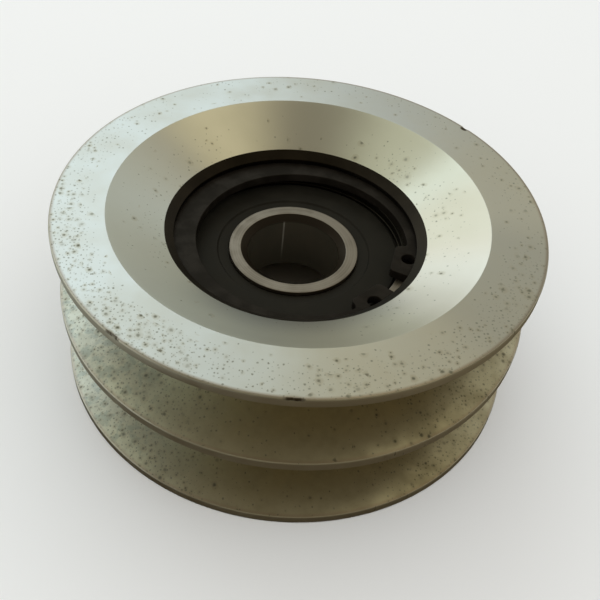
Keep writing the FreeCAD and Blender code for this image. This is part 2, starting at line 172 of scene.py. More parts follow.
def fade(tree, value, low, high):
    """0 where the value is at or below low, 1 at or above high, smooth between."""
    settings = {"interpolation_type": "SMOOTHSTEP"}
    inputs = {"Value": value, "From Min": low, "From Max": high}
    return add_node(tree, "ShaderNodeMapRange", settings, inputs).outputs["Result"]


def mix_colour(tree, factor, first, second, blend_type="MIX"):
    """The first colour, with the second laid over it by the factor."""
    node = add_node(tree, "ShaderNodeMix", {"data_type": "RGBA", "blend_type": blend_type})
    for socket, value in (("Factor_Float", factor), ("A_Color", first), ("B_Color", second)):
        target = next(entry for entry in node.inputs if entry.identifier == socket)
        if isinstance(value, bpy.types.NodeSocket):
            tree.links.new(value, target)
        else:
            target.default_value = value
    return next(entry for entry in node.outputs if entry.identifier == "Result_Color")


def new_group(name, inputs, outputs):
    """A shader node group with named sockets, its input node and its output node."""
    group = bpy.data.node_groups.new(name, "ShaderNodeTree")
    for socket, value in inputs.items():
        kind = "NodeSocketColor" if isinstance(value, tuple) else "NodeSocketFloat"
        made = group.interface.new_socket(socket, in_out="INPUT", socket_type=kind)
        made.default_value = value
    for socket, kind in outputs.items():
        group.interface.new_socket(socket, in_out="OUTPUT", socket_type=kind)
    return group, group.nodes.new("NodeGroupInput"), group.nodes.new("NodeGroupOutput")


def place_group(tree, group, inputs):
    """A node group in a tree, with values or links for its inputs."""
    return add_node(tree, "ShaderNodeGroup", {"node_tree": group}, inputs)


def make_position_group():
    """Where a point lies about the pulley's axis: its radius and height in mm, and its direction in turns."""
    outputs = {"Radius": "NodeSocketFloat", "Height": "NodeSocketFloat", "Direction": "NodeSocketFloat"}
    group, _, end = new_group("place_about_axis", {}, outputs)
    place = add_node(group, "ShaderNodeTexCoord").outputs["Object"]
    split = add_node(group, "ShaderNodeSeparateXYZ", None, {0: place})
    flat = add_node(group, "ShaderNodeVectorMath", {"operation": "MULTIPLY"}, {0: place, 1: (1, 1, 0)})
    length = add_node(group, "ShaderNodeVectorMath", {"operation": "LENGTH"}, {0: flat.outputs[0]})
    angle = math_node(group, "ARCTAN2", split.outputs["Y"], split.outputs["X"])
    group.links.new(math_node(group, "MULTIPLY", length.outputs["Value"], 1 / MM), end.inputs["Radius"])
    group.links.new(math_node(group, "MULTIPLY", split.outputs["Z"], 1 / MM), end.inputs["Height"])
    group.links.new(math_node(group, "DIVIDE", angle, math.tau), end.inputs["Direction"])
    return group


place_about_axis = make_position_group()


def make_round_lines_group():
    """Fine lines that a cutting tool or a grinding wheel leaves, each running round the axis."""
    inputs = {"Lines per mm": 6.0, "Waviness": 0.15}
    group, start, end = new_group("round_lines", inputs, {"Height": "NodeSocketFloat"})
    place = place_group(group, place_about_axis, {})
    along = math_node(group, "ADD", place.outputs["Radius"], place.outputs["Height"])
    across = math_node(group, "MULTIPLY", along, start.outputs["Lines per mm"])
    around = math_node(group, "MULTIPLY", place.outputs["Direction"], start.outputs["Waviness"])
    vector = add_node(group, "ShaderNodeCombineXYZ", None, {"X": across, "Y": around})
    settings = {"noise_dimensions": "2D"}
    inputs = {"Vector": vector.outputs[0], "Scale": 1.0, "Detail": 1.0}
    noise = add_node(group, "ShaderNodeTexNoise", settings, inputs)
    group.links.new(noise.outputs["Fac"], end.inputs["Height"])
    return group


round_lines = make_round_lines_group()


def make_stain_group():
    """Cloudy patches, from 0 to 1, such as oil film, dulled plating or handling marks."""
    inputs = {"Patch size mm": 10.0, "Low": 0.4, "High": 0.65}
    group, start, end = new_group("cloudy_patches", inputs, {"Mask": "NodeSocketFloat"})
    place = add_node(group, "ShaderNodeTexCoord").outputs["Object"]
    scale = math_node(group, "DIVIDE", 1 / MM, start.outputs["Patch size mm"])
    settings = {"noise_dimensions": "3D"}
    inputs = {"Vector": place, "Scale": scale, "Detail": 4.0, "Roughness": 0.6}
    noise = add_node(group, "ShaderNodeTexNoise", settings, inputs)
    mask = fade(group, noise.outputs["Fac"], start.outputs["Low"], start.outputs["High"])
    group.links.new(mask, end.inputs["Mask"])
    return group


cloudy_patches = make_stain_group()


def make_ground_steel():
    material, tree, shader = new_material("ground_bearing_steel")
    lines = place_group(tree, round_lines, {"Lines per mm": 2.6, "Waviness": 0.4})
    film = place_group(tree, cloudy_patches, {"Patch size mm": 6.0})
    colour = mix_colour(tree, film.outputs["Mask"], (0.312, 0.265, 0.214, 1), (0.268, 0.23, 0.184, 1))
    tone = fade(tree, lines.outputs["Height"], 0.3, 0.7)
    lined = mix_colour(tree, tone, colour, (0.345, 0.295, 0.24, 1))
    inputs = {"Strength": 0.15, "Distance": 0.02 * MM, "Height": lines.outputs["Height"]}
    bump = add_node(tree, "ShaderNodeBump", None, inputs)
    inputs = {"Value": film.outputs["Mask"], "To Min": 0.40, "To Max": 0.50}
    rough = add_node(tree, "ShaderNodeMapRange", None, inputs)
    tree.links.new(lined, shader.inputs["Base Color"])
    tree.links.new(rough.outputs["Result"], shader.inputs["Roughness"])
    tree.links.new(bump.outputs[0], shader.inputs["Normal"])
    shader.inputs["Metallic"].default_value = 1.0
    return material


ground_steel = make_ground_steel()

# The painted highlight along the bore, a thin pale line: its direction in turns, and its half width in mm.
# The painted shade on the chamfer ends between two heights in mm.
BORE_HIGHLIGHT_DIRECTION = 101 / 360
BORE_HIGHLIGHT_HALF_WIDTH = 0.12
CHAMFER_SHADE = (6.9, 6.3)


def make_oiled_bore():
    """Dark oiled steel, with a thin pale painted highlight along the bore and painted shade on the chamfer.
    """
    material, tree, shader = new_material("oiled_bore_steel")
    place = place_group(tree, place_about_axis, {})
    film = place_group(tree, cloudy_patches, {"Patch size mm": 8.0})
    oiled = mix_colour(tree, film.outputs["Mask"], (0.070, 0.062, 0.042, 1), (0.080, 0.068, 0.046, 1))
    below_chamfer = fade(tree, place.outputs["Height"], *CHAMFER_SHADE)
    # Painted shade: the chamfer at the bore's mouth is darker than the oiled bore below it.
    colour = mix_colour(tree, below_chamfer, (0.018, 0.013, 0.008, 1), oiled)
    # Painted highlight: a thin pale line along the bore, fading out towards its rear end.
    turned = math_node(tree, "SUBTRACT", place.outputs["Direction"], BORE_HIGHLIGHT_DIRECTION)
    away = math_node(tree, "MULTIPLY", math_node(tree, "ABSOLUTE", turned), math.tau * BORE_RADIUS)
    bore_highlight = fade(tree, away, 2 * BORE_HIGHLIGHT_HALF_WIDTH, BORE_HIGHLIGHT_HALF_WIDTH)
    depth = math_node(tree, "MULTIPLY", fade(tree, place.outputs["Height"], -6.0, 3.0), below_chamfer)
    bore_highlight_mask = math_node(tree, "MULTIPLY", bore_highlight, depth)
    with_bore_highlight = mix_colour(tree, bore_highlight_mask, colour, (0.26, 0.24, 0.19, 1))
    inputs = {"Value": film.outputs["Mask"], "To Min": 0.36, "To Max": 0.44}
    rough = add_node(tree, "ShaderNodeMapRange", None, inputs)
    tree.links.new(with_bore_highlight, shader.inputs["Base Color"])
    tree.links.new(rough.outputs["Result"], shader.inputs["Roughness"])
    shader.inputs["Metallic"].default_value = 0.35
    shader.inputs["Specular IOR Level"].default_value = 0.2
    shader.inputs["Specular Tint"].default_value = (1.0, 0.84, 0.60, 1)
    return material


def with_rear_half(front_corners):
    """An outline from its front half: the same corners follow in reverse, mirrored to the rear."""
    rear_corners = [(radius, -height, rounding) for radius, height, rounding in reversed(front_corners)]
    return front_corners + rear_corners


def make_inner_ring():
    chamfer, chamfer_depth = INNER_RING_CHAMFER
    shoulder, shoulder_half_width = INNER_RING_SHOULDER
    front_half = [
        (shoulder, shoulder_half_width, 0.15),
        (INNER_RING_FACE_RADIUS, shoulder_half_width, 0.1),
        (INNER_RING_FACE_RADIUS, bearing_half_width, 0.15),
        (BORE_RADIUS + chamfer, bearing_half_width, 0.2),
        (BORE_RADIUS, bearing_half_width - chamfer_depth, 0.3),
    ]
    track = raceway_arc(PITCH_RADIUS + RACE_CENTRE_SHIFT, 1, shoulder)
    ring = turned_ring("inner_ring", with_rear_half(front_half) + track, RING_SEGMENTS, bearing_middle)
    ring.data.materials.append(ground_steel)
    ring.data.materials.append(make_oiled_bore())
    for face in ring.data.polygons:
        in_bore = math.hypot(face.center.x, face.center.y) / MM < BORE_RADIUS + chamfer - 0.05
        face.material_index = 1 if in_bore else 0
    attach(ring, "inner_ring")
    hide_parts("bearing_inner_ring")


make_inner_ring()


# ---------------------------------------------------------------- balls
# Seven balls of polished chrome steel roll between the rings. They keep their designed shape, and only their
# finish is made here: a mirror polish with a trace of grease.


def make_polished_steel():
    material, tree, shader = new_material("polished_ball_steel")
    film = place_group(tree, cloudy_patches, {"Patch size mm": 3.0})
    colour = mix_colour(tree, film.outputs["Mask"], (0.66, 0.65, 0.63, 1), (0.52, 0.49, 0.42, 1))
    inputs = {"Value": film.outputs["Mask"], "To Min": 0.06, "To Max": 0.2}
    rough = add_node(tree, "ShaderNodeMapRange", None, inputs)
    tree.links.new(colour, shader.inputs["Base Color"])
    tree.links.new(rough.outputs["Result"], shader.inputs["Roughness"])
    shader.inputs["Metallic"].default_value = 1.0
    return material


def refinish(node, material):
    """Gives a CAD node that is shown as it is its finish."""
    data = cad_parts[node].data
    data.materials.clear()
    data.materials.append(material)


polished_steel = make_polished_steel()
for number in range(1, 8):
    refinish(f"ball_{number}", polished_steel)


# ---------------------------------------------------------------- ball cage
# The cage is two ribbons pressed from thin sheet, riveted together between the balls. It is sealed inside the
# bearing and keeps its designed shape, with the dull finish of pressed sheet.


def make_pressed_sheet():
    material, tree, shader = new_material("pressed_steel_sheet")
    film = place_group(tree, cloudy_patches, {"Patch size mm": 4.0})
    colour = mix_colour(tree, film.outputs["Mask"], (0.50, 0.48, 0.44, 1), (0.36, 0.33, 0.28, 1))
    place = add_node(tree, "ShaderNodeTexCoord").outputs["Object"]
    grain = add_node(tree, "ShaderNodeTexNoise", None, {"Vector": place, "Scale": 2 / MM, "Detail": 3.0})
    inputs = {"Strength": 0.2, "Distance": 0.02 * MM, "Height": grain.outputs["Fac"]}
    bump = add_node(tree, "ShaderNodeBump", None, inputs)
    tree.links.new(colour, shader.inputs["Base Color"])
    tree.links.new(bump.outputs[0], shader.inputs["Normal"])
    shader.inputs["Metallic"].default_value = 1.0
    shader.inputs["Roughness"].default_value = 0.42
    return material


pressed_sheet = make_pressed_sheet()
for node in ("cage_front_half", "cage_rear_half", "cage_rivets"):
    refinish(node, pressed_sheet)


# ---------------------------------------------------------------- bearing outer ring
# The outer ring is hardened steel like the inner one, and is pressed into the sheave. A step at each end
# holds a seal, and what shows of the ring round the seal is coloured dark.

OUTER_RING_RADIUS = 26.0
OUTER_RING_CHAMFER = 1.1
OUTER_RING_MOUTH = 23.25
OUTER_RING_SHOULDER = 20.8
SEAL_SEAT_RADIUS = 23.65
SEAL_LEDGE = 6.75
SEAL_FLOOR = 6.15


def make_dark_steel_and_painted_shade():
    """Dark steel in cloudy patches; on the support ring it is painted shade in the recess."""
    material, tree, shader = new_material("dark_steel_and_painted_shade")
    film = place_group(tree, cloudy_patches, {"Patch size mm": 6.0})
    colour = mix_colour(tree, film.outputs["Mask"], (0.030, 0.025, 0.018, 1), (0.045, 0.037, 0.026, 1))
    tree.links.new(colour, shader.inputs["Base Color"])
    shader.inputs["Metallic"].default_value = 1.0
    shader.inputs["Roughness"].default_value = 0.5
    return material


dark_steel_and_painted_shade = make_dark_steel_and_painted_shade()


def make_outer_ring():
    front_half = [
        (OUTER_RING_RADIUS, bearing_half_width - OUTER_RING_CHAMFER, 0.3),
        (OUTER_RING_RADIUS - OUTER_RING_CHAMFER, bearing_half_width, 0.3),
        (OUTER_RING_MOUTH, bearing_half_width, 0.2),
        (OUTER_RING_MOUTH, SEAL_LEDGE, 0.05),
        (SEAL_SEAT_RADIUS, SEAL_LEDGE, 0.05),
        (SEAL_SEAT_RADIUS, SEAL_FLOOR, 0.05),
        (OUTER_RING_SHOULDER, SEAL_FLOOR, 0.1),
    ]
    track = raceway_arc(PITCH_RADIUS - RACE_CENTRE_SHIFT, -1, OUTER_RING_SHOULDER)
    outline = with_rear_half(front_half)
    middle = len(front_half)
    corners = outline[:middle] + track[::-1] + outline[middle:]
    ring = turned_ring("outer_ring", corners, RING_SEGMENTS, bearing_middle)
    ring.data.materials.append(dark_steel_and_painted_shade)
    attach(ring, "pulley")
    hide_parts("bearing_outer_ring")


make_outer_ring()


# ---------------------------------------------------------------- seals
# Each seal is black nitrile rubber moulded over a flat steel disc. Its bead snaps into the outer ring, and a
# lower step runs round the lip beside the inner ring. The discs keep their designed shape.

SEAL_FACE = 7.2
SEAL_BEAD_RADIUS = 23.6
SEAL_LIP_RADIUS = 14.2
SEAL_STEP_RADIUS = 16.7
PLATE_INNER_RADIUS = 15.9
PLATE_OUTER_RADIUS = 22.9
PLATE_TOP = 6.65


def make_seal_rubber():
    material, tree, shader = new_material("black_seal_rubber")
    dust = place_group(tree, cloudy_patches, {"Patch size mm": 5.0, "Low": 0.35, "High": 0.7})
    colour = mix_colour(tree, dust.outputs["Mask"], (0.0118, 0.0108, 0.0078, 1), (0.0165, 0.0150, 0.0108, 1))
    inputs = {"Value": dust.outputs["Mask"], "To Min": 0.50, "To Max": 0.66}
    rough = add_node(tree, "ShaderNodeMapRange", None, inputs)
    place = add_node(tree, "ShaderNodeTexCoord").outputs["Object"]
    grain = add_node(tree, "ShaderNodeTexNoise", None, {"Vector": place, "Scale": 5 / MM, "Detail": 2.0})
    inputs = {"Strength": 0.25, "Distance": 0.03 * MM, "Height": grain.outputs["Fac"]}
    bump = add_node(tree, "ShaderNodeBump", None, inputs)
    tree.links.new(colour, shader.inputs["Base Color"])
    tree.links.new(rough.outputs["Result"], shader.inputs["Roughness"])
    tree.links.new(bump.outputs[0], shader.inputs["Normal"])
    shader.inputs["Specular IOR Level"].default_value = 0.13
    shader.inputs["Specular Tint"].default_value = (1.0, 0.86, 0.64, 1)
    return material


seal_rubber = make_seal_rubber()


def make_seal(name, node, side):
    outline = [
        (PLATE_INNER_RADIUS, SEAL_FLOOR, 0.05),
        (SEAL_LIP_RADIUS, SEAL_FLOOR + 0.25, 0.05),
        (SEAL_LIP_RADIUS, SEAL_FLOOR + 0.5, 0.08),
        (SEAL_STEP_RADIUS - 0.3, PLATE_TOP + 0.15, 0.08),
        (SEAL_STEP_RADIUS, SEAL_FACE, 0.1),
        (PLATE_OUTER_RADIUS - 0.3, SEAL_FACE, 0.12),
        (PLATE_OUTER_RADIUS, SEAL_FACE - 0.3, 0.06),
        (SEAL_BEAD_RADIUS, PLATE_TOP, 0.08),
        (SEAL_BEAD_RADIUS, SEAL_FLOOR, 0.08),
        (PLATE_OUTER_RADIUS, SEAL_FLOOR, 0.03),
        (PLATE_OUTER_RADIUS, PLATE_TOP, 0.03),
        (PLATE_INNER_RADIUS, PLATE_TOP, 0.03),
    ]
    corners = [(radius, side * height, rounding) for radius, height, rounding in outline]
    seal = turned_ring(name, corners, RING_SEGMENTS, bearing_middle)
    seal.data.materials.append(seal_rubber)
    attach(seal, "pulley")
    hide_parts(node)


make_seal("front_rubber_seal", "front_seal", 1)
make_seal("rear_rubber_seal", "rear_seal", -1)
for node in ("front_seal_plate", "rear_seal_plate"):
    refinish(node, pressed_sheet)


# ---------------------------------------------------------------- sheave
# The sheave is one steel turning with two V grooves, a flat band and a shallow cone on each side, and a bore
# that holds the bearing. It is plated with thin zinc, now dull and spotted, and its rim has nicks.

sheave_low, sheave_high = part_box("sheave")
RIM_RADIUS = sheave_high.x / MM
HALF_RIM = sheave_high.z / MM
DISH_RADIUS = 39.75
MOUTH_RADIUS = 27.93
DISH_DEPTH = 5.94
LEAD_IN_DEPTH = 1.5
REAR_MOUTH_RADIUS = 25.0
SHOULDER_RADIUS = 23.5
SEAT_RADIUS = 26.0
GROOVE_MIDDLE = 9.5
GROOVE_ROOT_RADIUS = RIM_RADIUS - 14.5
GROOVE_ROOT_HALF = 4.067
LAND_HALF_WIDTH = 1.0
SHEAVE_SEGMENTS = 720
CIRCLIP_GROOVE_RADIUS = 27.5
circlip_low, circlip_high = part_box("circlip")
circlip_floor = circlip_low.z / MM
CIRCLIP_GROOVE_WIDTH = 2.15

# A nick: direction in degrees, half width along the rim, depth, how far its dark middle lies from the sharp
# corner, and how far the dark part reaches on each side of that, all in mm.
RIM_NICKS = [(-130.1, 1.8, 0.22, 0.20, 0.45), (-91.3, 2.0, 0.16, 0.20, 0.40), (38.4, 1.0, 0.15, 0.85, 0.60)]
NICK_REACH = 0.9

# The spots of one side are shifted against those of the other, and their outlines wobble, both in mm. A
# sector of many spots fades out over this many degrees.
OTHER_SIDE_SHIFT = 37
SPOT_WOBBLE = 0.25
SPOT_SECTOR_SOFTNESS = 25


def sheave_outline():
    """The sheave's half section: front face, belt grooves, rear face and stepped bore, in mm."""
    dish_floor = HALF_RIM - DISH_DEPTH
    rear_dish = DISH_DEPTH * (DISH_RADIUS - REAR_MOUTH_RADIUS) / (DISH_RADIUS - MOUTH_RADIUS)
    band = [(DISH_RADIUS + step, 0) for step in (1.5, 3.5, 5.5, 7.5, 9.0, 9.6, 10.1, 10.5)]
    front_band = [(radius, HALF_RIM, 0) for radius, _ in band]
    rear_band = [(radius, -HALF_RIM, 0) for radius, _ in reversed(band)]
    cone = [
        (MOUTH_RADIUS + share * (DISH_RADIUS - MOUTH_RADIUS), dish_floor + share * DISH_DEPTH, 0)
        for share in (0.1, 0.3, 0.5, 0.7, 0.9)
    ]
    half_groove = [
        (RIM_RADIUS, HALF_RIM, 0.35),
        (RIM_RADIUS, HALF_RIM - LAND_HALF_WIDTH, 0),
        (RIM_RADIUS, HALF_RIM - 2 * LAND_HALF_WIDTH, 0.3),
        (GROOVE_ROOT_RADIUS, GROOVE_MIDDLE + GROOVE_ROOT_HALF, 1.0),
        (GROOVE_ROOT_RADIUS, GROOVE_MIDDLE - GROOVE_ROOT_HALF, 1.0),
        (RIM_RADIUS, LAND_HALF_WIDTH, 0.3),
    ]
    rear_groove = [(radius, -height, rounding) for radius, height, rounding in reversed(half_groove)]
    clip_groove = [
        (SEAT_RADIUS, circlip_floor, 0.05),
        (CIRCLIP_GROOVE_RADIUS, circlip_floor, 0.08),
        (CIRCLIP_GROOVE_RADIUS, circlip_floor + CIRCLIP_GROOVE_WIDTH, 0.08),
        (SEAT_RADIUS, circlip_floor + CIRCLIP_GROOVE_WIDTH, 0.05),
    ]
    bearing_rear = bearing_middle - bearing_half_width
    return [
        (MOUTH_RADIUS, dish_floor, 0.15),
        *cone,
        (DISH_RADIUS, HALF_RIM, 0.2),
        *front_band,
        *half_groove,
        *rear_groove,
        *rear_band,
        (DISH_RADIUS, -HALF_RIM, 0.2),
        (REAR_MOUTH_RADIUS, rear_dish - HALF_RIM, 0.2),
        (SHOULDER_RADIUS, rear_dish + REAR_MOUTH_RADIUS - SHOULDER_RADIUS - HALF_RIM, 0.2),
        (SHOULDER_RADIUS, bearing_rear, 0.1),
        (SEAT_RADIUS, bearing_rear, 0.08),
        *clip_groove,
        (SEAT_RADIUS, dish_floor - LEAD_IN_DEPTH, 0.1),
    ]


def dent_rim(mesh):
    """Presses the nicks into the front rim edge. The metal goes in and down, most at the nick's middle."""
    for vertex in mesh.vertices:
        radius = math.hypot(vertex.co.x, vertex.co.y) / MM
        height = vertex.co.z / MM
        from_edge = math.hypot(RIM_RADIUS - radius, HALF_RIM - height)
        if from_edge > NICK_REACH or height < 0:
            continue
        direction = math.degrees(math.atan2(vertex.co.y, vertex.co.x))
        for nick_direction, half_width, depth, _, _ in RIM_NICKS:
            turn = (direction - nick_direction + 180) % 360 - 180
            along = abs(math.radians(turn)) * RIM_RADIUS / half_width
            if along < 1:
                push = depth * (1 - along**2) ** 1.5 * (1 - from_edge / NICK_REACH)
                vertex.co.x *= 1 - push / radius
                vertex.co.y *= 1 - push / radius
                vertex.co.z -= 0.8 * push * MM


def make_pitting_group():
    """Round corrosion spots on faces that look along the axis, and the stain about each, from 0 to 1.

    Spacing is the distance between the places where a spot may be, and share the part that has one."""
    inputs = {"Spacing mm": 1.2, "Share": 0.4, "Largest mm": 0.3}
    outputs = {"Spot": "NodeSocketFloat", "Stain": "NodeSocketFloat"}
    group, start, end = new_group("pitting", inputs, outputs)
    place = add_node(group, "ShaderNodeTexCoord").outputs["Object"]
    height = add_node(group, "ShaderNodeSeparateXYZ", None, {0: place}).outputs["Z"]
    other_side = math_node(group, "MULTIPLY", math_node(group, "SIGN", height), OTHER_SIDE_SHIFT * MM)
    offset = add_node(group, "ShaderNodeCombineXYZ", None, {"X": other_side})
    moved = add_node(group, "ShaderNodeVectorMath", {"operation": "ADD"}, {0: place, 1: offset.outputs[0]})
    wobble = add_node(group, "ShaderNodeTexNoise", None, {"Vector": place, "Scale": 2.2 / MM, "Detail": 1.0})
    settings = {"operation": "MULTIPLY_ADD"}
    inputs = {0: wobble.outputs["Color"], 1: (SPOT_WOBBLE * MM,) * 3, 2: moved.outputs[0]}
    uneven = add_node(group, "ShaderNodeVectorMath", settings, inputs)
    scale = math_node(group, "DIVIDE", 1 / MM, start.outputs["Spacing mm"])
    settings = {"voronoi_dimensions": "2D"}
    cells = add_node(group, "ShaderNodeTexVoronoi", settings, {"Vector": uneven.outputs[0], "Scale": scale})
    chance = add_node(group, "ShaderNodeSeparateColor", None, {0: cells.outputs["Color"]})
    present = math_node(group, "LESS_THAN", chance.outputs["Red"], start.outputs["Share"])
    strength = math_node(group, "MULTIPLY_ADD", chance.outputs["Blue"], 0.7, 0.3)
    shown = math_node(group, "MULTIPLY", present, strength)
    mostly_small = math_node(group, "POWER", chance.outputs["Green"], 2.0)
    varied = math_node(group, "MULTIPLY_ADD", mostly_small, 0.6, 0.4)
    reach = math_node(group, "DIVIDE", start.outputs["Largest mm"], start.outputs["Spacing mm"])
    limit = math_node(group, "MULTIPLY", reach, varied)
    inside = fade(group, cells.outputs["Distance"], limit, math_node(group, "MULTIPLY", limit, 0.15))
    near = fade(group, cells.outputs["Distance"], math_node(group, "MULTIPLY", limit, 2.4), limit)
    group.links.new(math_node(group, "MULTIPLY", inside, shown), end.inputs["Spot"])
    group.links.new(math_node(group, "MULTIPLY", near, shown), end.inputs["Stain"])
    return group


pitting = make_pitting_group()


def sector_mask(tree, place, middle, half_width, softness):
    """1 within half_width of a direction, fading out over softness; all in degrees."""
    turned = math_node(tree, "SUBTRACT", place.outputs["Direction"], middle / 360)
    wrapped = math_node(tree, "WRAP", turned, 0.5, -0.5)
    away = math_node(tree, "ABSOLUTE", wrapped)
    return fade(tree, away, (half_width + softness) / 360, half_width / 360)


def spot_share(tree, place, spots):
    """The part of the places that has a spot: more in clouds and in sectors, and fewer off a radius."""
    cloud = place_group(tree, cloudy_patches, {"Patch size mm": 9.0, "Low": 0.35, "High": 0.7})
    share = math_node(tree, "MULTIPLY_ADD", cloud.outputs["Mask"], spots["cloud"], spots["base"])
    for middle, half_width, more in spots["sectors"]:
        there = sector_mask(tree, place, middle, half_width, SPOT_SECTOR_SOFTNESS)
        share = math_node(tree, "MULTIPLY_ADD", there, more, share)
    start, end = spots["radii"]
    near = fade(tree, place.outputs["Radius"], start, end)
    return math_node(tree, "MULTIPLY", share, near)


def chip_mask(tree, place):
    """1 on the chipped metal of the nicks at the front rim edge, with a ragged outline."""
    mask = 0.0
    inwards = math_node(tree, "SUBTRACT", RIM_RADIUS + HALF_RIM, place.outputs["Radius"])
    inwards = math_node(tree, "SUBTRACT", inwards, place.outputs["Height"])
    where = add_node(tree, "ShaderNodeTexCoord").outputs["Object"]
    ragged = add_node(tree, "ShaderNodeTexNoise", None, {"Vector": where, "Scale": 1.6 / MM, "Detail": 2.0})
    ragged = math_node(tree, "MULTIPLY_ADD", ragged.outputs["Fac"], 0.5, -0.25)
    for direction, half_width, _, middle, reach in RIM_NICKS:
        turned = math_node(tree, "SUBTRACT", place.outputs["Direction"], direction / 360)
        along = math_node(tree, "MULTIPLY", turned, math.tau * RIM_RADIUS / half_width)
        across = math_node(tree, "DIVIDE", math_node(tree, "SUBTRACT", inwards, middle), reach)
        squares = math_node(tree, "MULTIPLY_ADD", across, across, math_node(tree, "POWER", along, 2.0))
        away = math_node(tree, "ADD", math_node(tree, "SQRT", squares), ragged)
        mask = math_node(tree, "MAXIMUM", mask, fade(tree, away, 1.1, 0.6))
    return mask


def spotted_colour(tree, place, colour, spots):
    """The colour with spots and their stains laid over it, and the mask of the spots."""
    share = spot_share(tree, place, spots)
    fine = place_group(tree, pitting, {"Spacing mm": 0.85, "Share": share, "Largest mm": 0.34})
    few = math_node(tree, "MULTIPLY", share, 0.6)
    coarse = place_group(tree, pitting, {"Spacing mm": 1.6, "Share": few, "Largest mm": 0.62})
    fine_spot = math_node(tree, "MULTIPLY", fine.outputs["Spot"], 0.8)
    spot = math_node(tree, "MAXIMUM", fine_spot, coarse.outputs["Spot"])
    stain = math_node(tree, "MULTIPLY", coarse.outputs["Stain"], 0.35)
    stained = mix_colour(tree, stain, colour, (0.52, 0.45, 0.30, 1))
    return mix_colour(tree, spot, stained, (0.29, 0.28, 0.21, 1)), spot


def tint_and_painted_light_colour(tree, place, colour, tints_and_painted_light):
    """The colour multiplied by each tint in its sector, between its radii and in patches when it has them."""
    for tint in tints_and_painted_light:
        there = sector_mask(tree, place, *tint["sector"])
        if "radii" in tint:
            start, end = tint["radii"]
            near = fade(tree, place.outputs["Radius"], start, end)
            there = math_node(tree, "MULTIPLY", there, near)
        if "patch_size" in tint:
            inputs = {"Patch size mm": tint["patch_size"], "Low": 0.45, "High": 0.62}
            patches = place_group(tree, cloudy_patches, inputs)
            there = math_node(tree, "MULTIPLY", there, patches.outputs["Mask"])
        colour = mix_colour(tree, there, colour, (*tint["colour"], 1), "MULTIPLY")
    return colour


def make_plating(
    name, clean, dull, patch_size, roughness, anisotropy, lines_per_mm, spots, rim_wear_and_highlight=None, tints_and_painted_light=()
):
    """Zinc plating: clean and dull patches, rim wear with painted highlight, tints in sectors, and spots."""
    material, tree, shader = new_material(name)
    place = place_group(tree, place_about_axis, {})
    patches = place_group(tree, cloudy_patches, {"Patch size mm": patch_size, "Low": 0.3, "High": 0.75})
    colour = mix_colour(tree, patches.outputs["Mask"], clean, dull)
    # The rim colour: edge wear, and on the lands also a painted highlight where the rounded corners catch
    # light.
    if rim_wear_and_highlight:
        edge = fade(tree, place.outputs["Radius"], RIM_RADIUS - 1.0, RIM_RADIUS - 0.1)
        colour = mix_colour(tree, edge, colour, rim_wear_and_highlight)
    colour = tint_and_painted_light_colour(tree, place, colour, tints_and_painted_light)
    colour, spot = spotted_colour(tree, place, colour, spots)
    chipped = chip_mask(tree, place)
    colour = mix_colour(tree, chipped, colour, (0.10, 0.078, 0.05, 1))
    turned = place_group(tree, round_lines, {"Lines per mm": lines_per_mm, "Waviness": 0.3})
    height = math_node(tree, "MULTIPLY_ADD", spot, -1.0, turned.outputs["Height"])
    inputs = {"Strength": 0.1, "Distance": 0.02 * MM, "Height": height}
    bump = add_node(tree, "ShaderNodeBump", None, inputs)
    low, high = roughness
    dullness = math_node(tree, "MULTIPLY_ADD", patches.outputs["Mask"], high - low, low)
    spotted_dullness = math_node(tree, "MULTIPLY_ADD", spot, 0.25, dullness)
    tree.links.new(colour, shader.inputs["Base Color"])
    tree.links.new(spotted_dullness, shader.inputs["Roughness"])
    tree.links.new(bump.outputs[0], shader.inputs["Normal"])
    shader.inputs["Metallic"].default_value = 1.0
    shader.inputs["Anisotropic"].default_value = anisotropy
    shader.inputs["Anisotropic Rotation"].default_value = 0.25
    tangent = add_node(tree, "ShaderNodeTangent", {"direction_type": "RADIAL", "axis": "Z"})
    tree.links.new(tangent.outputs[0], shader.inputs["Tangent"])
    return material


# The sector tints are partly the plating's own colour and partly painted light and shade: bluer and paler to
# the left, where the cool window is reflected, and darker at the front of the cone and beside a nick.
plated_band = make_plating(
    "plated_flat_band",
    clean=(0.79, 0.765, 0.665, 1), dull=(0.77, 0.725, 0.60, 1), rim_wear_and_highlight=(0.50, 0.41, 0.31, 1),
    tints_and_painted_light=[
        {"sector": (150, 95, 40), "colour": (1.07, 1.13, 1.28)},
        {"sector": (-28, 14, 16), "colour": (0.87, 0.88, 0.90)},
    ],
    patch_size=16.0, roughness=(0.36, 0.44), anisotropy=0.5, lines_per_mm=2.4,
    spots={
        "base": 0.10, "cloud": 0.14, "radii": (40.0, 47.0),
        "sectors": [(-145, 18, 0.75), (-75, 45, 0.50), (-10, 20, 0.15), (175, 20, 0.35)],
    },
)
plated_cone = make_plating(
    "plated_turned_cone",
    clean=(0.84, 0.81, 0.69, 1), dull=(0.81, 0.78, 0.65, 1),
    tints_and_painted_light=[
        {"sector": (-148, 30, 40), "colour": (1.08, 1.17, 1.30)},
        {"sector": (-90, 8, 22), "colour": (0.90, 0.90, 0.91)},
        {"sector": (-32, 10, 20), "colour": (1.10, 1.07, 1.12)},
        {"sector": (0, 8, 18), "colour": (0.96, 0.91, 0.87)},
        {"sector": (-88, 28, 26), "radii": (36.0, 26.0), "colour": (0.68, 0.68, 0.72)},
    ],
    patch_size=16.0, roughness=(0.278, 0.305), anisotropy=0.75, lines_per_mm=2.8,
    spots={
        "base": 0.02, "cloud": 0.08, "radii": (39.0, 30.0),
        "sectors": [(24, 14, 0.30), (-40, 20, 0.12), (165, 25, 0.25)],
    },
)
